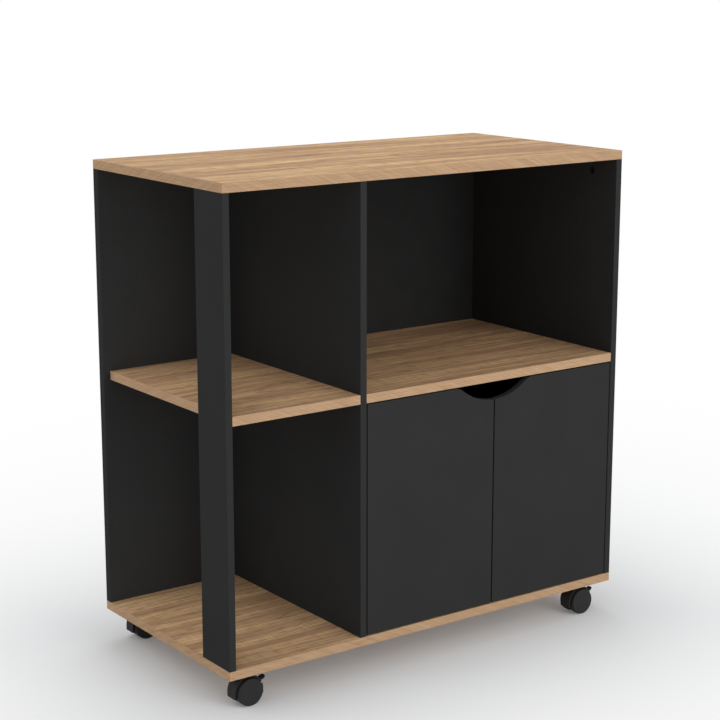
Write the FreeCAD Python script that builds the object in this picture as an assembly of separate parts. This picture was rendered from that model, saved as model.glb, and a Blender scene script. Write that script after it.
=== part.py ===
# Kitchen cart of melamine-faced boards on four swivel castors: an open bay on the left,
# a microwave niche on the right and a cupboard with two inset doors below it.
# Millimetres, +Z up, front towards -Y, origin on the floor under the middle of the cart.
import FreeCAD
import Part
import math
import os

Vector = FreeCAD.Vector

# Overall size of the carcass
cart_width = 800.0
cart_depth = 400.0
upright_height = 742.0
left_bay_width = 237.0
cabinet_height = 390.0
post_depth = 80.0

# Boards
deck_thickness = 15.0
upright_thickness = 12.0
left_back_thickness = 15.0
board_arris = 0.5

# Thin back sheet of the right bay, held in grooves
sheet_thickness = 3.0
sheet_setback = 15.0
groove_depth = 5.0
groove_clearance = 0.1
groove_end_clearance = 0.3

# Doors and their shared finger scoop
door_thickness = 12.0
door_middle_gap = 2.5
door_end_gap = 2.0
scoop_width = 165.0
scoop_depth = 28.5
scoop_lip_radius = 25.0

# Concealed hinges: a cup in the door, a hooked arm on the upright and a pin between them
hinge_end_offset = 75.0
pivot_inset = 17.0
pivot_depth = 7.5
swing_clearance = 0.4
cup_radius = 13.0
cup_skin = 2.5
cup_wall = 0.8
cup_flange_radius = 15.0
cup_flange_thickness = 1.2
cup_ear_width = 12.0
cup_screw_offset = 19.0
hinge_pin_radius = 1.5
hinge_pin_length = 21.0
knuckle_radius = 3.0
arm_thickness = 2.0
arm_width = 12.0
arm_clearance = 1.4
arm_bend_radius = 3.0
arm_base_length = 38.0
arm_screw_setback = 6.0
plate_thickness = 2.5
plate_width = 15.0
plate_wing_width = 44.0
plate_wing_length = 14.0
plate_corner_radius = 3.0
plate_screw_spacing = 32.0
mouth_clearance = 2.2

# Cam fittings: a lock turned in one board draws a bolt that is screwed into the other
upright_cam_radius = 6.0
upright_cam_depth = 9.5
shelf_cam_radius = 7.5
shelf_cam_depth = 12.0
cam_distance = 24.0
cam_recess = 0.2
cam_slot_width = 1.2
cam_slot_length = 7.0
cam_slot_depth = 1.6
bolt_thread_radius = 2.5
bolt_thread_length = 9.0
bolt_shank_radius = 2.0
bolt_neck_radius = 1.4
bolt_neck_length = 3.0
bolt_head_radius = 2.4
bolt_head_length = 3.0

# Dowels
dowel_radius = 3.0
dowel_short_end = 9.5
dowel_long_end = 20.0
dowel_chamfer = 0.8

# Places of the fittings, measured from the ends of the boards
upright_cam_inset = 60.0
upright_dowel_inset = 28.0
post_dowel_inset = 16.0
left_back_cam_inset = 50.0
left_back_dowel_inset = 24.0
left_back_side_inset = 200.0
left_shelf_cam_inset = 85.0
right_shelf_cam_inset = 50.0
left_shelf_dowel_share = 0.38
right_shelf_dowel_share = 0.5

# Castors
wheel_radius = 22.5
wheel_overall_width = 35.0
tread_width = 10.0
tread_edge_radius = 1.6
rim_thickness = 3.5
web_thickness = 3.0
hub_radius = 5.5
axle_radius = 2.5
axle_end_room = 0.2
axle_cover = 2.5
core_side_clearance = 0.5
hood_clearance = 1.2
hood_wall = 2.8
hood_overlap = 4.0
hood_drop = 8.5
castor_trail = 5.5
swivel_gap = 2.0
boss_radius = 9.0
kingpin_radius = 4.0
kingpin_grip = 16.0
kingpin_chamfer = 0.8
collar_radius = 7.5
collar_thickness = 1.0
castor_plate_size = 38.0
castor_plate_thickness = 2.0
castor_plate_corner = 4.0
castor_screw_spacing = 28.0
castor_side_inset = 49.5
castor_end_inset = 26.0

# Snap grooves that keep the wheels on the axle and the castor on its kingpin
snap_groove_depth = 0.45
snap_groove_width = 1.6
snap_ridge_clearance = 0.15

# Brake lever of the front castors
lever_pivot_angle = 38.0
lever_pivot_rise = 1.9
lever_pin_radius = 1.0
lever_knuckle_radius = 2.0
lever_width = 10.0
lever_thickness = 3.0
lever_bend_radius = 2.0
lever_elbow_reach = 3.8
lever_elbow_drop = 4.2
lever_length = 12.0
lever_rise_angle = 21.0
lever_side_clearance = 0.3
lever_room = 1.0
lever_drop_room = 1.8
brake_pad_radius = 1.2
brake_pad_reach = 3.16
brake_pad_drop = 3.46
brake_pad_end_gap = 0.5

# Screws
screw_shank_radius = 1.7
screw_head_radius = 3.0
screw_head_height = 1.6
screw_point_length = 2.5
screw_slot_width = 0.9
screw_slot_length = 3.6
screw_slot_depth = 0.9
castor_screw_length = 9.0
hinge_screw_length = 9.0
cup_screw_length = 8.0

# Fits shared by all pieces
running_clearance = 0.05
bore_clearance = 0.1
bore_end_clearance = 0.4
overrun = 1.0
coincidence = 0.001

# Levels and faces worked out from the sizes above
hood_radius = wheel_radius + hood_clearance + hood_wall
castor_height = (wheel_radius + hood_radius + swivel_gap + collar_thickness
                 + castor_plate_thickness)
cart_left = -cart_width / 2
cart_right = cart_width / 2
cart_front = -cart_depth / 2
cart_back = cart_depth / 2
bottom_under = castor_height
bottom_over = bottom_under + deck_thickness
top_under = bottom_over + upright_height
top_over = top_under + deck_thickness
shelf_under = bottom_over + cabinet_height
shelf_over = shelf_under + deck_thickness
shelf_middle = (shelf_under + shelf_over) / 2
post_right = cart_left + upright_thickness
divider_left = post_right + left_bay_width
divider_right = divider_left + upright_thickness
side_left = cart_right - upright_thickness
left_back_front = cart_back - left_back_thickness
left_back_middle = (left_back_front + cart_back) / 2
sheet_back = cart_back - sheet_setback
sheet_front = sheet_back - sheet_thickness

# Door and hinge places worked out from the sizes above
corner_swing = math.hypot(pivot_inset, pivot_depth)
door_side_gap = corner_swing - pivot_inset + swing_clearance
door_middle = (divider_right + side_left) / 2
door_width = (side_left - divider_right - door_middle_gap) / 2 - door_side_gap
door_low = bottom_over + door_end_gap
door_high = shelf_under - door_end_gap
left_pivot = divider_right + door_side_gap + pivot_inset
pivot_y = cart_front + pivot_depth
hinge_levels = (door_low + hinge_end_offset, door_high - hinge_end_offset)

# Castor levels worked out from the sizes above
hood_core_width = wheel_overall_width - 2 * (tread_width + core_side_clearance)
hood_width = hood_core_width + 2 * hood_overlap
collar_under = castor_height - castor_plate_thickness - collar_thickness
lever_pivot_radius = wheel_radius + lever_pivot_rise
lever_pivot_x = lever_pivot_radius * math.cos(math.radians(lever_pivot_angle)) - castor_trail
lever_pivot_z = lever_pivot_radius * math.sin(math.radians(lever_pivot_angle)) + wheel_radius
castor_places = {
    "front_left": (cart_left + castor_side_inset, cart_front + castor_end_inset),
    "front_right": (cart_right - castor_side_inset, cart_front + castor_end_inset),
    "rear_left": (cart_left + castor_side_inset, cart_back - castor_end_inset),
    "rear_right": (cart_right - castor_side_inset, cart_back - castor_end_inset),
}

X_AXIS = Vector(1, 0, 0)
Y_AXIS = Vector(0, 1, 0)
Z_AXIS = Vector(0, 0, 1)


# Plain shapes


def box(low, high):
    """A block between two opposite corners."""
    return Part.makeBox(high.x - low.x, high.y - low.y, high.z - low.z, low)


def board(low, high):
    """A board between two opposite corners, with every edge eased."""
    blank = box(low, high)
    return blank.makeFillet(board_arris, blank.Edges)


def rod(start, direction, radius, length):
    """A round bar from a point along a direction."""
    return Part.makeCylinder(radius, length, start, direction)


def mid_rod(middle, direction, radius, length):
    """A round bar centred on a point."""
    return rod(middle - direction * (length / 2), direction, radius, length)


def placed(shape, position, inward=Z_AXIS, face=X_AXIS):
    """A copy of a shape with its own Z turned to inward, its own X to face, and then moved."""
    turn = FreeCAD.Rotation(face, inward.cross(face), inward, "ZXY")
    moved = shape.copy()
    moved.Placement = FreeCAD.Placement(position, turn)
    return moved


def outline(corners, to_space):
    """A closed wire through (u, v, radius) corners, each one rounded by its own radius."""
    points = [Vector(u, v, 0) for u, v, radius in corners]
    bends = []
    for index, (u, v, radius) in enumerate(corners):
        here = points[index]
        back = (points[index - 1] - here).normalize()
        ahead = (points[(index + 1) % len(points)] - here).normalize()
        half_angle = back.getAngle(ahead) / 2
        reach = radius / math.tan(half_angle)
        bulge = radius / math.sin(half_angle) - radius
        middle = here + (back + ahead).normalize() * bulge if radius else here
        bends.append((here + back * reach, middle, here + ahead * reach, radius))
    edges = []
    for index, (start, middle, end, radius) in enumerate(bends):
        if radius:
            edges.append(Part.Arc(to_space(start), to_space(middle), to_space(end)).toShape())
        following = bends[(index + 1) % len(bends)][0]
        if not end.isEqual(following, coincidence):
            edges.append(Part.makeLine(to_space(end), to_space(following)))
    return Part.Wire(edges)


def on_xy(point):
    """A point of a flat outline laid in the XY plane."""
    return Vector(point.x, point.y, 0)


def on_xz(point):
    """A point of a flat outline stood in the XZ plane."""
    return Vector(point.x, 0, point.y)


def on_yz(point):
    """A point of a flat outline stood in the YZ plane."""
    return Vector(0, point.x, point.y)


def slab(corners, to_space, normal, low, high):
    """A rounded outline made thick along its normal, from low to high."""
    face = Part.Face(outline(corners, to_space))
    face.translate(normal * low)
    return face.extrude(normal * (high - low))


def turned(corners, axis=Z_AXIS):
    """A body turned about Z from (radius, height, corner radius) corners, or about Y."""
    plane = on_xz if axis == Z_AXIS else on_xy
    face = Part.Face(outline(corners, plane))
    return face.revolve(Vector(0, 0, 0), axis, 360)


def rectangle(low_u, low_v, high_u, high_v, radius=0):
    """The corners of a rectangle with equally rounded corners."""
    return [(low_u, low_v, radius), (high_u, low_v, radius),
            (high_u, high_v, radius), (low_u, high_v, radius)]


def strip_corners(points, thickness, bend):
    """The corners of a strip of even thickness bent along a line of points."""
    line = [Vector(u, v, 0) for u, v in points]
    steps = [(after - before).normalize() for before, after in zip(line, line[1:])]
    sides = []
    for side in (1, -1):
        edge = []
        for index, point in enumerate(line):
            before = steps[max(index - 1, 0)]
            after = steps[min(index, len(steps) - 1)]
            normal = Vector(-before.y - after.y, before.x + after.x, 0).normalize()
            stretch = normal.dot(Vector(-before.y, before.x, 0))
            turn = before.cross(after).z
            corner = point + normal * (side * thickness / 2 / stretch)
            inner = turn * side > 0
            radius = (bend if inner else bend + thickness) if abs(turn) > coincidence else 0
            edge.append((corner.x, corner.y, radius))
        sides.append(edge)
    return sides[0] + sides[1][::-1]


def cross_slot(length, width, low, high):
    """A cross-shaped cut about Z, from low to high."""
    half_length = length / 2
    half_width = width / 2
    along = box(Vector(-half_length, -half_width, low), Vector(half_length, half_width, high))
    across = box(Vector(-half_width, -half_length, low), Vector(half_width, half_length, high))
    return along.fuse(across)


def screw(length):
    """A cross-slotted pan-head screw whose head rests on Z = 0 and whose point is at Z = length."""
    body = turned([
        (0, -screw_head_height, 0),
        (screw_head_radius, -screw_head_height, screw_head_height / 2),
        (screw_head_radius, 0, 0),
        (screw_shank_radius, 0, 0),
        (screw_shank_radius, length - screw_point_length, 0),
        (0, length, 0),
    ])
    return body.cut(cross_slot(screw_slot_length, screw_slot_width, -screw_head_height - overrun,
                               screw_slot_depth - screw_head_height))


def screw_hole(length):
    """The hole for such a screw, open at Z = 0."""
    start = Vector(0, 0, -overrun)
    return rod(start, Z_AXIS, screw_shank_radius + bore_clearance, overrun + length + bore_clearance)


# Joinery: every fitting is drawn with its joint at the origin, Z into the carrying board
# and X towards the face that the lock is turned from


def cam_bolt():
    """A bolt with a thread in the mating board and a necked head inside the lock."""
    head_start = cam_distance - bolt_head_length / 2
    neck_start = head_start - bolt_neck_length
    return turned([
        (0, -bolt_thread_length, 0),
        (bolt_thread_radius, -bolt_thread_length, 0),
        (bolt_thread_radius, 0, 0),
        (bolt_shank_radius, 0, 0),
        (bolt_shank_radius, neck_start, 0),
        (bolt_neck_radius, neck_start, 0),
        (bolt_neck_radius, head_start, 0),
        (bolt_head_radius, head_start, 0),
        (bolt_head_radius, head_start + bolt_head_length, 0),
        (0, head_start + bolt_head_length, 0),
    ])


def cam_lock(radius, depth, board_thickness):
    """A round lock with a channel for the bolt's head and a cross slot in its face."""
    face = board_thickness / 2 - cam_recess
    bottom = board_thickness / 2 - depth
    lock = rod(Vector(bottom, 0, cam_distance), X_AXIS, radius, face - bottom)
    room = bolt_head_radius + bore_clearance
    channel_end = cam_distance + bolt_head_length / 2 + bore_clearance
    channel = box(Vector(-room, -room, cam_distance - radius - overrun), Vector(room, room, channel_end))
    slot = cross_slot(cam_slot_length, cam_slot_width, face - cam_slot_depth, face + overrun)
    return lock.cut([channel, placed(slot, Vector(0, 0, cam_distance), X_AXIS, Y_AXIS)])


def cam_carrier_holes(radius, depth, board_thickness):
    """The edge bore and the lock's seat in the carrying board."""
    start = Vector(0, 0, -overrun)
    edge_bore = rod(start, Z_AXIS, bolt_head_radius + bore_clearance, overrun + cam_distance)
    bottom = board_thickness / 2 - depth - bore_clearance
    seat = rod(Vector(bottom, 0, cam_distance), X_AXIS, radius + bore_clearance,
               depth + bore_clearance + overrun)
    return [edge_bore, seat]


def cam_mate_hole():
    """The bolt's hole in the mating board."""
    depth = bolt_thread_length + bore_end_clearance
    return rod(Vector(0, 0, -depth), Z_AXIS, bolt_thread_radius + bore_clearance, depth + overrun)


def dowel():
    """A chamfered dowel with its short end in the mating board."""
    chamfered = dowel_radius - dowel_chamfer
    return turned([
        (0, -dowel_short_end, 0),
        (chamfered, -dowel_short_end, 0),
        (dowel_radius, dowel_chamfer - dowel_short_end, 0),
        (dowel_radius, dowel_long_end - dowel_chamfer, 0),
        (chamfered, dowel_long_end, 0),
        (0, dowel_long_end, 0),
    ])


def dowel_holes():
    """The dowel's holes in the carrying board and in the mating board."""
    radius = dowel_radius + bore_clearance
    long_hole = rod(Vector(0, 0, -overrun), Z_AXIS, radius, overrun + dowel_long_end + bore_end_clearance)
    short_hole = rod(Vector(0, 0, overrun), -Z_AXIS, radius, overrun + dowel_short_end + bore_end_clearance)
    return long_hole, short_hole


board_names = ("top_panel", "bottom_panel", "right_side_panel", "divider_panel", "corner_post",
               "left_back_panel", "left_shelf", "microwave_shelf", "left_door", "right_door")
holes = {name: [] for name in board_names}
groups = {name: [] for name in ("upright_cams", "shelf_cams", "cam_bolts", "dowels")}


def add_cam(carrier, mate, position, inward, face, thin):
    """Adds one cam fitting and its holes; thin boards take the smaller lock."""
    lock_sizes = (shelf_cam_radius, shelf_cam_depth, deck_thickness)
    if thin:
        lock_sizes = (upright_cam_radius, upright_cam_depth, upright_thickness)
    group = "upright_cams" if thin else "shelf_cams"
    groups[group].append(placed(cam_lock(*lock_sizes), position, inward, face))
    groups["cam_bolts"].append(placed(cam_bolt(), position, inward, face))
    for hole in cam_carrier_holes(*lock_sizes):
        holes[carrier].append(placed(hole, position, inward, face))
    holes[mate].append(placed(cam_mate_hole(), position, inward, face))


def add_dowel(carrier, mate, position, inward, face):
    """Adds one dowel and its two holes."""
    long_hole, short_hole = dowel_holes()
    groups["dowels"].append(placed(dowel(), position, inward, face))
    holes[carrier].append(placed(long_hole, position, inward, face))
    holes[mate].append(placed(short_hole, position, inward, face))


def join_to_decks(carrier, cam_spots, dowel_spots, face, thin):
    """Fastens the two ends of an upright board to the bottom and the top panel."""
    for mate, level, inward in (("bottom_panel", bottom_over, Z_AXIS), ("top_panel", top_under, -Z_AXIS)):
        for x, y in cam_spots:
            add_cam(carrier, mate, Vector(x, y, level), inward, face, thin)
        for x, y in dowel_spots:
            add_dowel(carrier, mate, Vector(x, y, level), inward, face)


def join_uprights():
    """Fastens the divider, the side, the post and the left back between the decks."""
    half = upright_thickness / 2
    for carrier, x, face in (("divider_panel", divider_left + half, X_AXIS),
                             ("right_side_panel", side_left + half, -X_AXIS)):
        cams = [(x, cart_front + upright_cam_inset), (x, cart_back - upright_cam_inset)]
        dowels = [(x, cart_front + upright_dowel_inset), (x, cart_back - upright_dowel_inset)]
        join_to_decks(carrier, cams, dowels, face, True)
    x = cart_left + half
    post_dowels = [(x, cart_front + post_dowel_inset), (x, cart_front + post_depth - post_dowel_inset)]
    join_to_decks("corner_post", [(x, cart_front + post_depth / 2)], post_dowels, X_AXIS, True)
    back_cams = []
    back_dowels = []
    for spots, inset in ((back_cams, left_back_cam_inset), (back_dowels, left_back_dowel_inset)):
        spots.append((cart_left + inset, left_back_middle))
        spots.append((divider_left - inset, left_back_middle))
    join_to_decks("left_back_panel", back_cams, back_dowels, Y_AXIS, False)
    for level in (bottom_over + left_back_side_inset, top_under - left_back_side_inset):
        spot = Vector(divider_left, left_back_middle, level)
        add_cam("left_back_panel", "divider_panel", spot, -X_AXIS, Y_AXIS, False)


def join_shelves():
    """Fastens the shelves to the boards around them; their locks are turned from below."""
    down = -Z_AXIS
    shelf_depth = left_back_front - cart_front
    for y in (cart_front + left_shelf_cam_inset, left_back_front - left_shelf_cam_inset):
        add_cam("left_shelf", "divider_panel", Vector(divider_left, y, shelf_middle), -X_AXIS, down, False)
    spot = Vector(divider_left, cart_front + shelf_depth * left_shelf_dowel_share, shelf_middle)
    add_dowel("left_shelf", "divider_panel", spot, -X_AXIS, down)
    spot = Vector(post_right, cart_front + post_depth / 2, shelf_middle)
    add_cam("left_shelf", "corner_post", spot, X_AXIS, down, False)
    spot = Vector((post_right + divider_left) / 2, left_back_front, shelf_middle)
    add_cam("left_shelf", "left_back_panel", spot, -Y_AXIS, down, False)
    for mate, x, inward in (("divider_panel", divider_right, X_AXIS),
                            ("right_side_panel", side_left, -X_AXIS)):
        for y in (cart_front + right_shelf_cam_inset, sheet_front - right_shelf_cam_inset):
            add_cam("microwave_shelf", mate, Vector(x, y, shelf_middle), inward, down, False)
        y = cart_front + (sheet_front - cart_front) * right_shelf_dowel_share
        add_dowel("microwave_shelf", mate, Vector(x, y, shelf_middle), inward, down)


# Boards


def sheet_groove():
    """The groove for the back sheet, cut into the boards around the right bay."""
    low = Vector(divider_right - groove_depth, sheet_front - groove_clearance, bottom_over - groove_depth)
    high = Vector(side_left + groove_depth, sheet_back + groove_clearance, top_under + groove_depth)
    return box(low, high)


def back_sheet():
    """The thin back of the right bay, let into the grooves."""
    reach = groove_depth - groove_end_clearance
    return board(Vector(divider_right - reach, sheet_front, bottom_over - reach),
                 Vector(side_left + reach, sheet_back, top_under + reach))


def carcass():
    """The boards of the carcass before they are drilled."""
    front = cart_front
    back = cart_back
    corners = {
        "bottom_panel": (cart_left, front, bottom_under, cart_right, back, bottom_over),
        "top_panel": (cart_left, front, top_under, cart_right, back, top_over),
        "right_side_panel": (side_left, front, bottom_over, cart_right, back, top_under),
        "divider_panel": (divider_left, front, bottom_over, divider_right, back, top_under),
        "corner_post": (cart_left, front, bottom_over, post_right, front + post_depth, top_under),
        "left_back_panel": (cart_left, left_back_front, bottom_over, divider_left, back, top_under),
        "left_shelf": (post_right, front, shelf_under, divider_left, left_back_front, shelf_over),
        "microwave_shelf": (divider_right, front, shelf_under, side_left, sheet_front, shelf_over),
    }
    return {name: board(Vector(*six[:3]), Vector(*six[3:])) for name, six in corners.items()}


def door_blank():
    """The left door: a board whose top corner falls in an S-shaped curve to the shared scoop."""
    hinge_edge = divider_right + door_side_gap
    free_edge = hinge_edge + door_width
    half_width = scoop_width / 2
    turn = 2 * math.atan2(scoop_depth, half_width)
    bowl_radius = half_width / math.sin(turn) - scoop_lip_radius
    bowl_centre = Vector(door_middle, 0, door_high - scoop_depth + bowl_radius)
    lip_centre = Vector(door_middle - half_width, 0, door_high - scoop_lip_radius)

    def on_bowl(angle):
        return bowl_centre - Vector(math.sin(angle), 0, math.cos(angle)) * bowl_radius

    def on_lip(angle):
        return lip_centre + Vector(math.sin(angle), 0, math.cos(angle)) * scoop_lip_radius

    start = math.asin(door_middle_gap / 2 / bowl_radius)
    high_corner = Vector(hinge_edge, 0, door_high)
    low_corner = Vector(hinge_edge, 0, door_low)
    free_corner = Vector(free_edge, 0, door_low)
    edges = [Part.makeLine(on_lip(0), high_corner)]
    edges.append(Part.makeLine(high_corner, low_corner))
    edges.append(Part.makeLine(low_corner, free_corner))
    edges.append(Part.makeLine(free_corner, on_bowl(start)))
    edges.append(Part.Arc(on_bowl(start), on_bowl((start + turn) / 2), on_bowl(turn)).toShape())
    edges.append(Part.Arc(on_lip(turn), on_lip(turn / 2), on_lip(0)).toShape())
    face = Part.Face(Part.Wire(edges))
    face.translate(Y_AXIS * cart_front)
    blank = face.extrude(Y_AXIS * door_thickness)
    rims = [edge for edge in blank.Edges if edge.BoundBox.YLength < coincidence]
    return blank.makeFillet(board_arris, rims)


def mirrored(shape):
    """The same piece on the right door, mirrored about the middle of the doors."""
    return shape.mirror(Vector(door_middle, 0, 0), X_AXIS)


# Hinges, drawn for the left door with the pin's middle at the origin

rear_face = door_thickness - pivot_depth
upright_face = -pivot_inset - door_side_gap
flange_face = rear_face + cup_flange_thickness
arm_reach = corner_swing + arm_clearance + arm_thickness / 2
arm_base_x = upright_face + plate_thickness + arm_thickness / 2
arm_base_start = arm_reach - arm_thickness / 2
arm_base_end = arm_base_start + arm_base_length
arm_screw_y = arm_base_end - arm_screw_setback
plate_screw_y = (arm_base_start + arm_screw_y) / 2


def hinge_cup_hole():
    """The round seat of the cup in the back of the door."""
    bottom = Vector(0, cup_skin - pivot_depth, 0)
    return rod(bottom, Y_AXIS, cup_radius, door_thickness - cup_skin + overrun)


def hinge_cup():
    """A round cup with a flange, two screw ears and a mouth that the arm swings in."""
    floor = cup_skin - pivot_depth + bore_clearance
    body = rod(Vector(0, floor, 0), Y_AXIS, cup_radius - bore_clearance, rear_face - floor)
    flange = rod(Vector(0, rear_face, 0), Y_AXIS, cup_flange_radius, cup_flange_thickness)
    half_ear = cup_ear_width / 2
    ear_end = cup_screw_offset + half_ear
    ear = slab(rectangle(-half_ear, -ear_end, half_ear, ear_end, half_ear - coincidence), on_xz, Y_AXIS,
               rear_face, flange_face)
    mouth_half = flange_face + arm_thickness / math.sqrt(2) + mouth_clearance
    mouth_side = arm_width / 2 + bore_end_clearance
    mouth = box(Vector(-mouth_half, floor + cup_wall, -mouth_side),
                Vector(mouth_half, flange_face + overrun, mouth_side))
    pin_hole = mid_rod(Vector(0, 0, 0), Z_AXIS, hinge_pin_radius + running_clearance,
                       hinge_pin_length + bore_clearance)
    cup = body.fuse([flange, ear]).removeSplitter().cut([mouth, pin_hole])
    return cup.cut([placed(screw_hole(cup_screw_length), spot, -Y_AXIS) for spot in cup_screw_spots()])


def cup_screw_spots():
    """Where the heads of the two cup screws rest."""
    return [Vector(0, flange_face, -cup_screw_offset), Vector(0, flange_face, cup_screw_offset)]


def hinge_arm():
    """A strip bent from the pin's knuckle, round the door's edge and along the upright."""
    path = [(0, 0), (arm_reach, arm_reach), (arm_base_x, arm_reach), (arm_base_x, arm_base_end)]
    half = arm_width / 2
    strip = slab(strip_corners(path, arm_thickness, arm_bend_radius), on_xy, Z_AXIS, -half, half)
    knuckle = mid_rod(Vector(0, 0, 0), Z_AXIS, knuckle_radius, arm_width)
    pin_hole = mid_rod(Vector(0, 0, 0), Z_AXIS, hinge_pin_radius + running_clearance, arm_width + overrun)
    arm = strip.fuse(knuckle).removeSplitter().cut(pin_hole)
    return arm.cut(placed(screw_hole(arm_thickness), arm_screw_spot(), -X_AXIS, Y_AXIS))


def arm_screw_spot():
    """Where the head of the screw that holds the arm rests."""
    return Vector(arm_base_x + arm_thickness / 2, arm_screw_y, 0)


def hinge_plate():
    """The mounting plate under the arm, a strip with two screw wings."""
    half = plate_width / 2
    wing = plate_wing_width / 2
    wing_start = plate_screw_y - plate_wing_length / 2
    wing_end = plate_screw_y + plate_wing_length / 2
    radius = plate_corner_radius
    corners = [(arm_base_start, -half, radius), (wing_start, -half, radius), (wing_start, -wing, radius),
               (wing_end, -wing, radius), (wing_end, -half, radius), (arm_base_end, -half, radius),
               (arm_base_end, half, radius), (wing_end, half, radius), (wing_end, wing, radius),
               (wing_start, wing, radius), (wing_start, half, radius), (arm_base_start, half, radius)]
    plate = slab(corners, on_yz, X_AXIS, upright_face, upright_face + plate_thickness)
    cuts = [placed(screw_hole(hinge_screw_length), spot, -X_AXIS, Y_AXIS) for spot in plate_screw_spots()]
    cuts.append(placed(screw_hole(arm_thickness + plate_thickness), arm_screw_spot(), -X_AXIS, Y_AXIS))
    return plate.cut(cuts)


def plate_screw_spots():
    """Where the heads of the two plate screws rest."""
    head_face = upright_face + plate_thickness
    return [Vector(head_face, plate_screw_y, side * plate_screw_spacing / 2) for side in (-1, 1)]


def hinge_pieces():
    """Every piece and hole of one left hinge, by the name of its group."""
    cup_spots = cup_screw_spots()
    plate_spots = plate_screw_spots()
    cup_screws = [placed(screw(cup_screw_length), spot, -Y_AXIS) for spot in cup_spots]
    plate_screws = [placed(screw(hinge_screw_length), spot, -X_AXIS, Y_AXIS) for spot in plate_spots]
    door_holes = [placed(screw_hole(cup_screw_length), spot, -Y_AXIS) for spot in cup_spots]
    upright_holes = [placed(screw_hole(hinge_screw_length), spot, -X_AXIS, Y_AXIS) for spot in plate_spots]
    return {
        "hinge_cups": [hinge_cup()],
        "hinge_pins": [mid_rod(Vector(0, 0, 0), Z_AXIS, hinge_pin_radius, hinge_pin_length)],
        "hinge_arms": [hinge_arm()],
        "hinge_plates": [hinge_plate()],
        "cup_screws": cup_screws,
        "plate_screws": plate_screws,
        "arm_screws": [placed(screw(arm_thickness + plate_thickness), arm_screw_spot(), -X_AXIS, Y_AXIS)],
        "door_holes": [hinge_cup_hole()] + door_holes,
        "upright_holes": upright_holes,
    }


def hang_doors():
    """Places two hinges on each door and returns their pieces by node name."""
    nodes = {}
    for level in hinge_levels:
        for group, shapes in hinge_pieces().items():
            for shape in shapes:
                left = shape.copy()
                left.translate(Vector(left_pivot, pivot_y, level))
                nodes.setdefault("left_" + group, []).append(left)
                nodes.setdefault("right_" + group, []).append(mirrored(left))
    holes["left_door"] += nodes.pop("left_door_holes")
    holes["right_door"] += nodes.pop("right_door_holes")
    holes["divider_panel"] += nodes.pop("left_upright_holes")
    holes["right_side_panel"] += nodes.pop("right_upright_holes")
    for group in ("plate_screws", "arm_screws"):
        nodes["hinge_" + group] = nodes.pop("left_" + group) + nodes.pop("right_" + group)
    return nodes


# Castors, drawn on the floor with the swivel axis on Z and the brake lever towards +X


def snap_bore(radius, start, end, groove_middle):
    """A round hole about Z with a ridge inside it that snaps into the groove of its pin."""
    hole = radius + running_clearance
    ridge = radius - snap_groove_depth + running_clearance
    half_ridge = snap_groove_width / 2 - snap_ridge_clearance
    return turned([(0, start, 0), (hole, start, 0), (hole, groove_middle - half_ridge, 0),
                   (ridge, groove_middle - half_ridge, 0), (ridge, groove_middle + half_ridge, 0),
                   (hole, groove_middle + half_ridge, 0), (hole, end, 0), (0, end, 0)])


wheel_inner = wheel_overall_width / 2 - tread_width
wheel_outer = wheel_overall_width / 2
axle_end = wheel_outer - axle_cover - axle_end_room
axle_groove = (wheel_inner + axle_end) / 2
kingpin_end = collar_under - kingpin_grip
kingpin_groove = (collar_under + kingpin_end) / 2


def castor_wheel():
    """One wheel about Z: a rounded tread, a closed outer web and a hub with a blind bore."""
    web_inner = wheel_outer - web_thickness
    rim_inner = wheel_radius - rim_thickness
    body = turned([
        (0, wheel_inner, 0),
        (hub_radius, wheel_inner, 0),
        (hub_radius, web_inner, 0),
        (rim_inner, web_inner, 0),
        (rim_inner, wheel_inner, 0),
        (wheel_radius, wheel_inner, tread_edge_radius / 2),
        (wheel_radius, wheel_outer, tread_edge_radius),
        (0, wheel_outer, 0),
    ])
    return body.cut(snap_bore(axle_radius, wheel_inner - overrun, wheel_outer - axle_cover, axle_groove))


def castor_axle():
    """The axle about Z, with a snap groove near each end."""
    groove = axle_radius - snap_groove_depth
    half = snap_groove_width / 2
    return turned([
        (0, -axle_end, 0), (axle_radius, -axle_end, 0),
        (axle_radius, -axle_groove - half, 0), (groove, -axle_groove - half, 0),
        (groove, half - axle_groove, 0), (axle_radius, half - axle_groove, 0),
        (axle_radius, axle_groove - half, 0), (groove, axle_groove - half, 0),
        (groove, axle_groove + half, 0), (axle_radius, axle_groove + half, 0),
        (axle_radius, axle_end, 0), (0, axle_end, 0),
    ])


def kingpin():
    """The pin riveted into the plate, with a collar that the castor turns under."""
    groove = kingpin_radius - snap_groove_depth
    half = snap_groove_width / 2
    plate_under = castor_height - castor_plate_thickness
    return turned([
        (0, kingpin_end, 0), (kingpin_radius, kingpin_end, kingpin_chamfer),
        (kingpin_radius, kingpin_groove - half, 0), (groove, kingpin_groove - half, 0),
        (groove, kingpin_groove + half, 0), (kingpin_radius, kingpin_groove + half, 0),
        (kingpin_radius, collar_under, 0), (collar_radius, collar_under, 0),
        (collar_radius, plate_under, 0), (kingpin_radius, plate_under, 0),
        (kingpin_radius, castor_height, 0), (0, castor_height, 0),
    ])


def castor_screw_spots():
    """Where the heads of the four plate screws rest."""
    half = castor_screw_spacing / 2
    level = castor_height - castor_plate_thickness
    return [Vector(x, y, level) for x in (-half, half) for y in (-half, half)]


def castor_plate():
    """The square plate under the bottom panel."""
    half = castor_plate_size / 2
    plate = slab(rectangle(-half, -half, half, half, castor_plate_corner), on_xy, Z_AXIS,
                 castor_height - castor_plate_thickness, castor_height)
    cuts = [placed(screw_hole(castor_screw_length), spot) for spot in castor_screw_spots()]
    cuts.append(rod(Vector(0, 0, collar_under), Z_AXIS, kingpin_radius + running_clearance, castor_height))
    return plate.cut(cuts)


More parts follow.
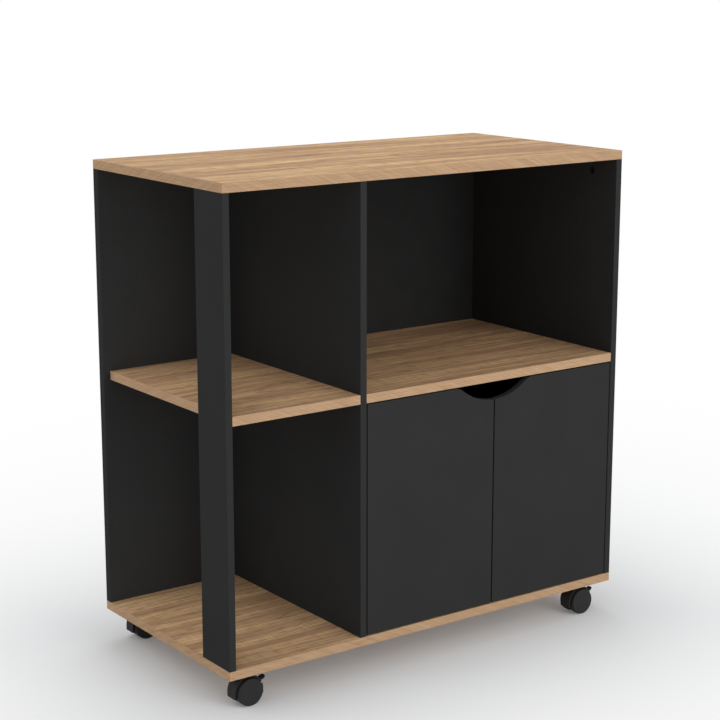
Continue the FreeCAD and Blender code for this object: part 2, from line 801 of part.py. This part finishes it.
def hood_outline(radius, drop):
    """A hood's side view: a round top with straight skirts."""
    left = Vector(-castor_trail - radius, 0, wheel_radius)
    right = Vector(-castor_trail + radius, 0, wheel_radius)
    crown = Vector(-castor_trail, 0, wheel_radius + radius)
    down = Vector(0, 0, -drop)
    edges = [Part.makeLine(left + down, left), Part.Arc(left, crown, right).toShape(),
             Part.makeLine(right, right + down), Part.makeLine(right + down, left + down)]
    return Part.Face(Part.Wire(edges))


def castor_hood(braked):
    """The moulded hood: a core between the wheels, a skirt over them and a swivel boss."""
    half = hood_width / 2
    core = hood_core_width / 2
    shell = hood_outline(hood_radius, hood_drop)
    shell.translate(Y_AXIS * -half)
    shell = shell.extrude(Y_AXIS * hood_width)
    boss = rod(Vector(0, 0, wheel_radius), Z_AXIS, boss_radius, collar_under - wheel_radius)
    wheel_room = hood_outline(wheel_radius + hood_clearance, hood_drop + overrun)
    rooms = []
    for start, direction in ((core, Y_AXIS), (-core, -Y_AXIS)):
        room = wheel_room.copy()
        room.translate(Y_AXIS * start)
        rooms.append(room.extrude(direction * hood_overlap * 2))
    axle_hole = mid_rod(Vector(-castor_trail, 0, wheel_radius), Y_AXIS, axle_radius + running_clearance,
                        hood_width + overrun)
    pin_hole = snap_bore(kingpin_radius, kingpin_end - bore_end_clearance, collar_under + overrun,
                         kingpin_groove)
    cuts = rooms + [axle_hole, pin_hole]
    if braked:
        cuts += lever_openings()
    return shell.fuse(boss).cut(cuts)


def lever_point(along, up):
    """A place on the brake lever, measured from its pin."""
    return Vector(lever_pivot_x + along, 0, lever_pivot_z + up)


def lever_openings():
    """The slot for the lever, the window for its brake pads and the hole for its pin."""
    side = lever_width / 2 + lever_side_clearance
    outside = hood_radius + lever_length
    floor = -lever_elbow_drop - lever_thickness / 2 - lever_drop_room
    slot_start = -lever_knuckle_radius - lever_room
    slot = box(lever_point(slot_start, floor) - Y_AXIS * side,
               lever_point(outside, hood_radius) + Y_AXIS * side)
    window_start = brake_pad_reach - brake_pad_radius - lever_room - bore_end_clearance
    window_top = brake_pad_radius - brake_pad_drop + lever_side_clearance
    window = box(lever_point(window_start, floor) - Y_AXIS * hood_width,
                 lever_point(outside, window_top) + Y_AXIS * hood_width)
    pin_hole = mid_rod(lever_point(0, 0), Y_AXIS, lever_pin_radius + running_clearance, hood_core_width)
    return [slot, window, pin_hole]


def brake_lever():
    """A cranked lever with a knuckle, a rounded end and a pad across both treads."""
    tip_x = lever_elbow_reach + lever_length * math.cos(math.radians(lever_rise_angle))
    tip_z = lever_length * math.sin(math.radians(lever_rise_angle)) - lever_elbow_drop
    path = [(0, 0), (lever_elbow_reach, -lever_elbow_drop), (tip_x, tip_z)]
    half = lever_width / 2
    arm = slab(strip_corners(path, lever_thickness, lever_bend_radius), on_xz, Y_AXIS, -half, half)
    arm = arm.fuse(mid_rod(Vector(tip_x, 0, tip_z), Y_AXIS, lever_thickness / 2, lever_width))
    end = tip_x + lever_thickness / 2
    plan = slab(rectangle(-lever_knuckle_radius - end, -half, end, half, half - coincidence), on_xy, Z_AXIS,
                -hood_radius, hood_radius)
    knuckle = mid_rod(Vector(0, 0, 0), Y_AXIS, lever_knuckle_radius, lever_width)
    pad = mid_rod(Vector(brake_pad_reach, 0, -brake_pad_drop), Y_AXIS, brake_pad_radius,
                  hood_width - 2 * brake_pad_end_gap)
    lever = arm.common(plan).fuse([knuckle, pad])
    lever = lever.cut(mid_rod(Vector(0, 0, 0), Y_AXIS, lever_pin_radius + running_clearance, hood_width))
    lever.translate(lever_point(0, 0))
    return lever


def castor_pieces(braked):
    """Every piece of one castor, by name."""
    centre = Vector(-castor_trail, 0, wheel_radius)
    pieces = {
        "plate": castor_plate(),
        "kingpin": kingpin(),
        "hood": castor_hood(braked),
        "axle": placed(castor_axle(), centre, Y_AXIS, X_AXIS),
        "outer_wheel": placed(castor_wheel(), centre, -Y_AXIS, X_AXIS),
        "inner_wheel": placed(castor_wheel(), centre, Y_AXIS, X_AXIS),
    }
    if braked:
        pieces["brake_lever"] = brake_lever()
        pieces["brake_pin"] = mid_rod(lever_point(0, 0), Y_AXIS, lever_pin_radius, hood_core_width)
    return pieces


def fit_castors():
    """Places the castors; the rear pair is turned half round. Returns the pieces by node name."""
    nodes = {"castor_screws": []}
    for name, (x, y) in castor_places.items():
        braked = name.startswith("front")
        forward = X_AXIS if braked else -X_AXIS
        spot = FreeCAD.Placement(Vector(x, y, 0), FreeCAD.Rotation(X_AXIS, forward))
        for piece, shape in castor_pieces(braked).items():
            shape.Placement = spot.multiply(shape.Placement)
            nodes[name + "_castor_" + piece] = [shape]
        for local in castor_screw_spots():
            seat = spot.multVec(local)
            nodes["castor_screws"].append(placed(screw(castor_screw_length), seat))
            holes["bottom_panel"].append(placed(screw_hole(castor_screw_length), seat))
    return nodes


# The whole cart


def build():
    """Every node of the cart as a list of solids."""
    join_uprights()
    join_shelves()
    nodes = hang_doors()
    nodes.update(fit_castors())
    for name in ("top_panel", "bottom_panel", "divider_panel", "right_side_panel"):
        holes[name].append(sheet_groove())
    boards = carcass()
    left_door = door_blank()
    boards["left_door"] = left_door
    boards["right_door"] = mirrored(left_door)
    for name, blank in boards.items():
        nodes[name] = [blank.cut(holes[name])]
    nodes["right_back_panel"] = [back_sheet()]
    nodes.update(groups)
    return nodes


def export(nodes):
    """Writes each node to its own file."""
    os.makedirs("parts", exist_ok=True)
    for name, solids in nodes.items():
        shape = solids[0] if len(solids) == 1 else Part.makeCompound(solids)
        shape.exportStep("parts/" + name + ".step")


export(build())
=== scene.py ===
import math
import bpy
import numpy as np
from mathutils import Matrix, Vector


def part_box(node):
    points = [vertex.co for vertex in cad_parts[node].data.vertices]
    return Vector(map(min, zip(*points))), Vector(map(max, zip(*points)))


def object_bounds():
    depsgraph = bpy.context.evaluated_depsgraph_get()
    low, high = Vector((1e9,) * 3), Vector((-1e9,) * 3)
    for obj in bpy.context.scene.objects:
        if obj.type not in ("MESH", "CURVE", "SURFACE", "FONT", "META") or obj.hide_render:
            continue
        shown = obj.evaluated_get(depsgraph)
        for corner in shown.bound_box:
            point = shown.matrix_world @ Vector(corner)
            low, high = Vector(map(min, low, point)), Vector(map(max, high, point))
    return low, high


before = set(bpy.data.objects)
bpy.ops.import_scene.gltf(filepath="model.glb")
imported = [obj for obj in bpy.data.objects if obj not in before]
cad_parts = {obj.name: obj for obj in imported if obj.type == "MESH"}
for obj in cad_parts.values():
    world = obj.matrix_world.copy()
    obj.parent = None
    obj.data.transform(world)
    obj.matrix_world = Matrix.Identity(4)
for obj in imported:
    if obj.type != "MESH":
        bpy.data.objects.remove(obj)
cad_low, cad_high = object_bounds()


# Decks and shelves: chipboard faced with a printed melamine paper of plain-sawn oak, its grain
# along the cart. The print has streaks, growth rings, pores and saw marks across the grain.
# Every edge is closed by a glued plastic strip with a plainer and pinker oak print.
edge_strip_thickness = 0.0008
face_share = 0.7
noise_middle = 0.5
grain_sway = 0.05
heart_depth = 0.13
ring_spacing = 0.012
early_wood_power = 3
pore_crowding = 0.1
dark_line_width = 0.018
saw_contrast = 0.6
saw_slant = 2.2
edge_saw_share = 0.7
through_board_mm = 60
paper_ior = 1.5
paper_gloss = 0.012


def linear(colour):
    """The linear RGBA of an sRGB hex colour: the sRGB curve undone channel by channel."""
    channels = np.array([int(colour[i:i + 2], 16) for i in (1, 3, 5)]) / 255
    curved = ((channels + 0.055) / 1.055) ** 2.4
    return (*np.where(channels <= 0.04045, channels / 12.92, curved).tolist(), 1.0)


def per_mm(size):
    """The scale of a pattern whose features have this size in millimetres, or three sizes along X, Y, Z."""
    return (1000 / np.array(size)).tolist()


def add(tree, kind, *values, **named):
    """Adds a node. Values fill its inputs in order; a small name is a setting, a capital one an input."""
    made = tree.nodes.new("ShaderNode" + kind)
    for name, value in named.items():
        if name[0].islower():
            setattr(made, name, value)
    sockets = [socket for socket in made.inputs if socket.enabled]
    by_name = {socket.name.replace(" ", "_"): socket for socket in reversed(sockets)}
    pairs = list(zip(sockets, values))
    pairs += [(by_name[name], value) for name, value in named.items() if name[0].isupper()]
    for socket, value in pairs:
        if isinstance(value, bpy.types.Node):
            value = next(output for output in value.outputs if output.enabled)
        if isinstance(value, bpy.types.NodeSocket):
            tree.links.new(value, socket)
        else:
            socket.default_value = value
    return made


def blank(name):
    """A new material with an empty node tree, and that tree."""
    material = bpy.data.materials.new(name)
    material.use_nodes = True
    material.node_tree.nodes.clear()
    return material, material.node_tree


def dress(material, *nodes):
    """Gives the material to these pieces of the frame."""
    for name in nodes:
        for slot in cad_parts[name].material_slots:
            slot.material = material


def edge_strip(tree, place, board):
    """1 on the strip that closes a board's edge, 0 on its face: the strip is where the surface turns
    away from the thin direction, or lies within the strip's own thickness of the face's border."""
    low, high = (np.array(corner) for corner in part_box(board))
    thin = int(np.argmin(high - low))
    axes = "XYZ"
    facing = add(tree, "SeparateXYZ", place.outputs["Normal"]).outputs[axes[thin]]
    face_on = add(tree, "Math", facing, operation="ABSOLUTE")
    turned = add(tree, "Math", face_on, face_share, operation="LESS_THAN")
    middle = tuple((low + high) / 2)
    offset = add(tree, "VectorMath", place.outputs["Object"], middle, operation="SUBTRACT")
    from_middle = add(tree, "VectorMath", offset, operation="ABSOLUTE")
    past_border = add(tree, "VectorMath", from_middle, tuple((high - low) / 2), operation="SUBTRACT")
    sides = add(tree, "SeparateXYZ", past_border)
    first, second = (sides.outputs[axes[i]] for i in range(3) if i != thin)
    nearest = add(tree, "Math", first, second, operation="MAXIMUM")
    border = add(tree, "Math", nearest, -edge_strip_thickness, operation="GREATER_THAN")
    return add(tree, "Math", turned, border, operation="MAXIMUM")


def oak_melamine(board, run, heart):
    """Printed oak on matt melamine: hardly any reflection, and a relief too slight to catch the light.
    Run, in metres, chooses the stretch of the print along the board, and heart is where across the
    board the log's heart lies. A ring at distance r from the heart line shows where
    r = sqrt(across^2 + depth^2), with the depth of the cut changing along the board."""
    material, tree = blank("oak_print_melamine_" + board)
    place = add(tree, "TexCoord")
    sheet = add(tree, "VectorMath", place.outputs["Object"], (run, -heart, 0), operation="ADD")
    parts = add(tree, "SeparateXYZ", sheet)

    # What keeps to the board's own directions, with its sizes in millimetres along and across
    straight = {}
    for name, along, across, detail in (("sway", 520, 150, 2), ("cut_depth", 900, 400, 1),
                                        ("saw_marks", 3.2, 70, 1)):
        scaled = add(tree, "VectorMath", sheet, per_mm((along, across, through_board_mm)),
                     operation="MULTIPLY")
        straight[name] = add(tree, "TexNoise", scaled, Scale=1, Detail=detail)

    # The fibres sway across the board and carry every finer pattern with them. Real pores are about
    # 0.3 mm wide, and are drawn wider so that they show
    sway = add(tree, "Math", straight["sway"], noise_middle, operation="SUBTRACT")
    off_heart = add(tree, "Math", sway, grain_sway, parts.outputs["Y"], operation="MULTIPLY_ADD")
    fibre_run = add(tree, "CombineXYZ", parts.outputs["X"], off_heart, parts.outputs["Z"])
    swayed = {}
    for name, along, across, detail, roughness in (
            ("ring_wobble", 240, 30, 3, 0.5), ("streaks", 460, 26, 4, 0.55), ("fibres", 60, 1.2, 2, 0.5),
            ("pores", 28, 2.4, 1, 0.5), ("dark_lines", 520, 34, 2, 0.5)):
        scaled = add(tree, "VectorMath", fibre_run, per_mm((along, across, through_board_mm)),
                     operation="MULTIPLY")
        swayed[name] = add(tree, "TexNoise", scaled, Scale=1, Detail=detail, Roughness=roughness)

    # Growth rings: arches near the heart line, nearly straight lines beside it
    depth = add(tree, "Math", straight["cut_depth"], heart_depth, operation="MULTIPLY")
    radius = add(tree, "VectorMath", add(tree, "CombineXYZ", off_heart, depth), operation="LENGTH")
    rings = add(tree, "Math", radius.outputs["Value"], 1 / ring_spacing, swayed["ring_wobble"],
                operation="MULTIPLY_ADD")
    in_ring = add(tree, "Math", rings, operation="FRACT")
    early_wood = add(tree, "Math", in_ring, early_wood_power, operation="POWER")

    # Pores crowd in the early wood, and a dark line lies wherever its noise crosses the middle
    pore_field = add(tree, "Math", early_wood, pore_crowding, swayed["pores"], operation="MULTIPLY_ADD")
    pores = add(tree, "MapRange", pore_field, From_Min=0.57, From_Max=0.72)
    crossing = add(tree, "Math", swayed["dark_lines"], noise_middle, operation="SUBTRACT")
    off_line = add(tree, "Math", crossing, operation="ABSOLUTE")
    dark_lines = add(tree, "MapRange", off_line, From_Max=dark_line_width, To_Min=1, To_Max=0)

    # The print's colours: two tones of streaks, darkened by rings, lines and pores in turn. Saw marks
    # show on the lighter wood only
    tone = add(tree, "MapRange", swayed["streaks"], From_Min=0.38, From_Max=0.62)
    wood = add(tree, "Mix", data_type="RGBA", Factor=tone, A=linear("#b49070"), B=linear("#dcb78a"))
    for pattern, share, colour in ((early_wood, 0.45, "#957459"), (dark_lines, 0.45, "#7e604e"),
                                   (pores, 0.55, "#7c614e")):
        amount = add(tree, "Math", pattern, share, operation="MULTIPLY")
        wood = add(tree, "Mix", data_type="RGBA", Factor=amount, A=wood, B=linear(colour))
    shade = add(tree, "MapRange", swayed["fibres"], From_Min=0.2, From_Max=0.8, To_Min=0.88, To_Max=1.12)
    saw_marks = add(tree, "Math", straight["saw_marks"], noise_middle, operation="SUBTRACT")
    on_light_wood = add(tree, "Math", saw_marks, tone, operation="MULTIPLY")
    sawn = add(tree, "Math", on_light_wood, saw_contrast, 1, operation="MULTIPLY_ADD")
    brightness = add(tree, "Math", shade, sawn, operation="MULTIPLY")
    wood = add(tree, "HueSaturation", Value=brightness, Color=wood)

    # The strip's print: fine lines along the edge, whichever way it runs, and slanting saw marks
    along_edge = add(tree, "Math", parts.outputs["X"], parts.outputs["Y"], operation="ADD")
    leaning = add(tree, "Math", parts.outputs["Z"], saw_slant, along_edge, operation="MULTIPLY_ADD")
    edge = {}
    for name, run_along, along, across, detail in (("lines", along_edge, 45, 1.6, 3),
                                                   ("saw_marks", leaning, 2.4, 40, 0)):
        unrolled = add(tree, "CombineXYZ", run_along, parts.outputs["Z"])
        scaled = add(tree, "VectorMath", unrolled, per_mm((along, across, through_board_mm)),
                     operation="MULTIPLY")
        edge[name] = add(tree, "TexNoise", scaled, Scale=1, Detail=detail)
    edge_print = add(tree, "Math", edge["saw_marks"], edge_saw_share, edge["lines"],
                     operation="MULTIPLY_ADD")
    edge_tone = add(tree, "MapRange", edge_print, From_Min=0.55, From_Max=1.15)
    strip = add(tree, "Mix", data_type="RGBA", Factor=edge_tone, A=linear("#aa8869"), B=linear("#c5a483"))
    on_strip = edge_strip(tree, place, board)
    colour = add(tree, "Mix", data_type="RGBA", Factor=on_strip, A=wood, B=strip)

    roughness = add(tree, "MapRange", pores, To_Min=0.56, To_Max=0.68)
    raised = add(tree, "Math", swayed["fibres"], straight["saw_marks"], operation="ADD")
    relief = add(tree, "Math", raised, pores, operation="SUBTRACT")
    bump = add(tree, "Bump", Strength=0.25, Distance=0.00012, Height=relief)
    surface = add(tree, "BsdfPrincipled", Base_Color=colour, Roughness=roughness, Normal=bump,
                  IOR=paper_ior, Specular_IOR_Level=paper_gloss)
    add(tree, "OutputMaterial", surface)
    return material


for board, run, heart in (("top_panel", 0.37, -0.04), ("bottom_panel", 2.6, 0.07),
                          ("left_shelf", 4.1, -0.09), ("microwave_shelf", 6.3, 0.03)):
    dress(oak_melamine(board, run, heart), board)


# Uprights and doors: chipboard faced with matt black melamine, its edges closed by a black strip.
# The paper is embossed with fine pearls that break up reflections, and the strip is smoother. Real
# pearls are about 0.4 mm across, and are drawn larger so that they show.
pearl_grain_mm = 1.3
paper_cloud_mm = 90
cloud_share = 0.25


def black_melamine(board):
    """Matt black melamine: an even dark grey with a soft sheen and a fine pearl emboss."""
    material, tree = blank("black_melamine_" + board)
    place = add(tree, "TexCoord")
    pearls = add(tree, "TexNoise", place.outputs["Object"], Scale=per_mm(pearl_grain_mm), Detail=2)
    clouds = add(tree, "TexNoise", place.outputs["Object"], Scale=per_mm(paper_cloud_mm), Detail=3)
    paper = add(tree, "Mix", Factor=cloud_share, A=pearls, B=clouds)
    tone = add(tree, "MapRange", paper, From_Min=0.35, From_Max=0.65)
    face = add(tree, "Mix", data_type="RGBA", Factor=tone, A=linear("#303030"), B=linear("#363636"))
    on_strip = edge_strip(tree, place, board)
    colour = add(tree, "Mix", data_type="RGBA", Factor=on_strip, A=face, B=linear("#333333"))
    pearl_gloss = add(tree, "MapRange", pearls, From_Min=0.3, From_Max=0.7, To_Min=0.72, To_Max=0.82)
    roughness = add(tree, "Mix", Factor=on_strip, A=pearl_gloss, B=0.68)
    on_face = add(tree, "Math", 1, on_strip, operation="SUBTRACT")
    relief = add(tree, "Math", pearls, on_face, operation="MULTIPLY")
    bump = add(tree, "Bump", Strength=0.5, Distance=0.00012, Height=relief)
    surface = add(tree, "BsdfPrincipled", Base_Color=colour, Roughness=roughness, Normal=bump,
                  IOR=paper_ior, Specular_IOR_Level=paper_gloss)
    add(tree, "OutputMaterial", surface)
    return material


for board in ("right_side_panel", "divider_panel", "corner_post", "left_back_panel",
              "left_door", "right_door"):
    dress(black_melamine(board), board)


# Back sheet: thin hardboard slid into grooves behind the right bay. It is lacquered black on the
# mesh side, so the weave of the press wire shows as a fine square relief.
wire_pitch_mm = 1.6
lacquer_patch_mm = 35


def black_hardboard():
    """Lacquered hardboard: the wire's weave is two crossed sine waves, and the lacquer lies unevenly."""
    material, tree = blank("lacquered_hardboard")
    place = add(tree, "TexCoord")
    parts = add(tree, "SeparateXYZ", place.outputs["Object"])
    turns = math.tau * per_mm(wire_pitch_mm)
    waves = []
    for axis in "XZ":
        angle = add(tree, "Math", parts.outputs[axis], turns, operation="MULTIPLY")
        waves.append(add(tree, "Math", angle, operation="SINE"))
    weave = add(tree, "Math", *waves, operation="MULTIPLY")
    lacquer = add(tree, "TexNoise", place.outputs["Object"], Scale=per_mm(lacquer_patch_mm), Detail=4)
    colour = add(tree, "Mix", data_type="RGBA", Factor=lacquer, A=linear("#262626"), B=linear("#303030"))
    roughness = add(tree, "MapRange", lacquer, From_Min=0.3, From_Max=0.7, To_Min=0.5, To_Max=0.66)
    bump = add(tree, "Bump", Strength=0.4, Distance=0.0001, Height=weave)
    surface = add(tree, "BsdfPrincipled", Base_Color=colour, Roughness=roughness, Normal=bump, IOR=1.5,
                  Specular_IOR_Level=0.06)
    add(tree, "OutputMaterial", surface)
    return material


dress(black_hardboard(), "right_back_panel")


# Cam fittings: die-cast zinc locks turned by a screwdriver, and bolts screwed into the mating board.
# The small locks in the uprights are passivated black, the large ones keep the grey skin of the
# casting, and bolts and screws are plated steel.
casting_grain_mm = 1.2

# Real rolling lines lie about 0.1 mm apart, and are drawn wider so that they show
rolling_lines_mm = (0.5, 12, 12)


def cast_zinc(name, dark, light):
    """Die-cast zinc: a dull metal with a mottled skin."""
    material, tree = blank(name)
    place = add(tree, "TexCoord")
    skin = add(tree, "TexNoise", place.outputs["Object"], Scale=per_mm(casting_grain_mm), Detail=4)
    colour = add(tree, "Mix", data_type="RGBA", Factor=skin, A=linear(dark), B=linear(light))
    roughness = add(tree, "MapRange", skin, From_Min=0.3, From_Max=0.7, To_Min=0.38, To_Max=0.56)
    bump = add(tree, "Bump", Strength=0.3, Distance=0.0001, Height=skin)
    surface = add(tree, "BsdfPrincipled", Base_Color=colour, Metallic=1, Roughness=roughness, Normal=bump)
    add(tree, "OutputMaterial", surface)
    return material


def plated_steel(name, dark, light, smoothest):
    """Plated sheet steel: a bright metal whose rolling left fine lines along Y and Z."""
    material, tree = blank(name)
    place = add(tree, "TexCoord")
    scaled = add(tree, "VectorMath", place.outputs["Object"], per_mm(rolling_lines_mm),
                 operation="MULTIPLY")
    rolled = add(tree, "TexNoise", scaled, Scale=1, Detail=3)
    colour = add(tree, "Mix", data_type="RGBA", Factor=rolled, A=linear(dark), B=linear(light))
    roughness = add(tree, "MapRange", rolled, From_Min=0.3, From_Max=0.7, To_Min=smoothest, To_Max=0.44)
    bump = add(tree, "Bump", Strength=0.15, Distance=0.00005, Height=rolled)
    surface = add(tree, "BsdfPrincipled", Base_Color=colour, Metallic=1, Roughness=roughness, Normal=bump)
    add(tree, "OutputMaterial", surface)
    return material


zinc_plate = plated_steel("zinc_plated_steel", "#a2a6aa", "#bfc3c7", 0.28)
dress(cast_zinc("black_passivated_zinc", "#4a4b4d", "#5a5b5d"), "upright_cams")
dress(cast_zinc("die_cast_zinc", "#8a8c8e", "#a9abac"), "shelf_cams")
dress(zinc_plate, "cam_bolts", "castor_screws")


# Dowels: turned beech pegs with chamfered ends, glued into drilled holes between the boards.
# They line the boards up while the cam locks pull them together, and hide once the cart is built.
fleck_size_mm = 2


def beech():
    """Plain beech: pale, with small darker flecks."""
    material, tree = blank("plain_beech")
    place = add(tree, "TexCoord")
    flecks = add(tree, "TexNoise", place.outputs["Object"], Scale=per_mm(fleck_size_mm), Detail=4)
    colour = add(tree, "Mix", data_type="RGBA", Factor=flecks, A=linear("#c69c6d"), B=linear("#ddb98e"))
    bump = add(tree, "Bump", Strength=0.2, Distance=0.0001, Height=flecks)
    surface = add(tree, "BsdfPrincipled", Base_Color=colour, Roughness=0.62, Normal=bump, IOR=1.5)
    add(tree, "OutputMaterial", surface)
    return material


dress(beech(), "dowels")


# Hinges: nickel-plated pressings. A cup let into the door, an arm bent round the door's edge and a
# plate screwed to the upright, with a pin through cup and arm.
nickel_plate = plated_steel("nickel_plated_steel", "#b8b3aa", "#d2cec6", 0.3)
for side in ("left", "right"):
    for piece in ("cups", "pins", "arms", "plates"):
        dress(nickel_plate, side + "_hinge_" + piece)
    dress(nickel_plate, side + "_cup_screws")
dress(nickel_plate, "hinge_plate_screws", "hinge_arm_screws")


# Castors: twin wheels under a hood, moulded in black nylon from a spark-eroded tool, which leaves an
# even matt grain. The lever is smoother. Plate, kingpin, axle and brake pin are zinc-plated steel.
flow_patch_mm = 14
mould_edge_radius = 0.0005

# Real eroded grain is about 0.15 mm across, and is drawn coarser so that it shows
erosion_grain_mm = 0.6


def moulded_nylon(name, dark, light, smoothest, roughest):
    """Black moulded nylon: matt, with an eroded grain and rounded mould edges."""
    material, tree = blank(name)
    place = add(tree, "TexCoord")
    grain = add(tree, "TexNoise", place.outputs["Object"], Scale=per_mm(erosion_grain_mm), Detail=2)
    flow = add(tree, "TexNoise", place.outputs["Object"], Scale=per_mm(flow_patch_mm), Detail=2)
    colour = add(tree, "Mix", data_type="RGBA", Factor=flow, A=linear(dark), B=linear(light))
    roughness = add(tree, "MapRange", grain, From_Min=0.3, From_Max=0.7, To_Min=smoothest, To_Max=roughest)
    edge = add(tree, "Bevel", samples=4, Radius=mould_edge_radius)
    bump = add(tree, "Bump", Strength=0.3, Distance=0.00006, Height=grain, Normal=edge)
    surface = add(tree, "BsdfPrincipled", Base_Color=colour, Roughness=roughness, Normal=bump, IOR=1.53,
                  Specular_IOR_Level=0.1)
    add(tree, "OutputMaterial", surface)
    return material


nylon = moulded_nylon("moulded_nylon", "#2b2b2b", "#2f2f2f", 0.5, 0.6)
lever_nylon = moulded_nylon("lever_nylon", "#242424", "#282828", 0.4, 0.5)
for corner in ("front_left", "front_right", "rear_left", "rear_right"):
    castor = corner + "_castor_"
    dress(nylon, castor + "hood", castor + "outer_wheel", castor + "inner_wheel")
    dress(zinc_plate, castor + "plate", castor + "kingpin", castor + "axle")
    if corner.startswith("front"):
        dress(lever_nylon, castor + "brake_lever")
        dress(zinc_plate, castor + "brake_pin")


# Studio: a pale floor under a soft sky and four large lamps. The floor fades to white with the
# distance from the cart's outline and keeps the cart's shadow. What shows of its paint is
# share * exp(-distance / length). The rest is a white glow seen only by the camera, and the tenth of
# it under and beside the cart is painted light that lifts the cart's shadow.
floor_half_width = 9.0
# At most nine tenths of the floor shows its paint. The white glow left near the cart is painted light on
# its shadow.
paint_share = 0.9
fade_length = 0.34
sky_strength = 0.66
lamp_aim = Vector((0, 0, 0.4))


def seen(tree):
    """1 for what the camera sees directly, in a mirror or through glass, and 0 for lighting."""
    rays = add(tree, "LightPath")
    mirrored = add(tree, "Math", rays.outputs["Is Camera Ray"], rays.outputs["Is Glossy Ray"],
                   operation="MAXIMUM")
    return add(tree, "Math", mirrored, rays.outputs["Is Transmission Ray"], operation="MAXIMUM")


corners = np.array([(-1, -1, 0), (1, -1, 0), (1, 1, 0), (-1, 1, 0)]) * floor_half_width
floor_mesh = bpy.data.meshes.new("studio_floor")
floor_mesh.from_pydata(corners.tolist(), [], [(0, 1, 2, 3)])
floor = bpy.data.objects.new("studio_floor", floor_mesh)
bpy.context.scene.collection.objects.link(floor)
floor_paint, tree = blank("pale_floor")
floor_place = add(tree, "TexCoord")
from_middle = add(tree, "VectorMath", floor_place.outputs["Object"], operation="ABSOLUTE")
past_cart = add(tree, "VectorMath", from_middle, (cad_high[0], cad_high[1], 0), operation="SUBTRACT")
clear_of_cart = add(tree, "VectorMath", past_cart, (0, 0, 0), operation="MAXIMUM")
distance = add(tree, "VectorMath", clear_of_cart, operation="LENGTH").outputs["Value"]
lengths = add(tree, "Math", distance, -1 / fade_length, operation="MULTIPLY")
falling = add(tree, "Math", lengths, operation="EXPONENT")
paint_shown = add(tree, "Math", falling, paint_share, operation="MULTIPLY")
fade = add(tree, "Math", 1, paint_shown, operation="SUBTRACT")
white_share = add(tree, "Math", fade, seen(tree), operation="MULTIPLY")
painted = add(tree, "BsdfDiffuse", Color=linear("#dfe1e3"))
glow = add(tree, "Emission", Color=linear("#ffffff"), Strength=1)
add(tree, "OutputMaterial", add(tree, "MixShader", white_share, painted, glow))
floor_mesh.materials.append(floor_paint)

# The sky is plain white to the eye and lights the cart less strongly
world = bpy.data.worlds.new("soft_sky")
bpy.context.scene.world = world
world.use_nodes = True
tree = world.node_tree
tree.nodes.clear()
sky_light = add(tree, "MapRange", seen(tree), To_Min=sky_strength, To_Max=1)
sky = add(tree, "Background", Color=linear("#ffffff"), Strength=sky_light)
add(tree, "OutputWorld", sky)

# Round lamps: a key and a low fill in front, one above and behind, one at the left
for name, place, width, power in (("key_lamp", (0.7, -3.2, 2.2), 2.4, 30),
                                  ("low_lamp", (0.7, -3.4, 0.7), 1.2, 18),
                                  ("top_lamp", (0.7, 1.4, 3.2), 2.0, 14.5),
                                  ("side_lamp", (-2.0, 0.6, 2.4), 1.6, 10.5)):
    lamp = bpy.data.lights.new(name, "AREA")
    lamp.shape = "DISK"
    lamp.size = width
    lamp.energy = power
    holder = bpy.data.objects.new(name, lamp)
    holder.location = place
    holder.rotation_euler = (lamp_aim - Vector(place)).to_track_quat("-Z", "Y").to_euler()
    bpy.context.scene.collection.objects.link(holder)


# Camera: a long lens from the front left, a little above the worktop, as in the photograph. It looks
# slightly down and isn't shifted, so uprights draw together a little towards the floor.
camera_place = (-1.762, -2.428, 1.139)
camera_pitch = 12.47
camera_turn = -35.85
camera_lens = 89.9
film_width = 36

camera_data = bpy.data.cameras.new("camera")
camera_data.sensor_width = film_width
camera_data.lens = camera_lens
camera = bpy.data.objects.new("camera", camera_data)
camera.location = camera_place
camera.rotation_euler = (math.radians(90 - camera_pitch), 0, math.radians(camera_turn))
bpy.context.scene.collection.objects.link(camera)
bpy.context.scene.camera = camera
bpy.context.scene.view_settings.view_transform = "Standard"
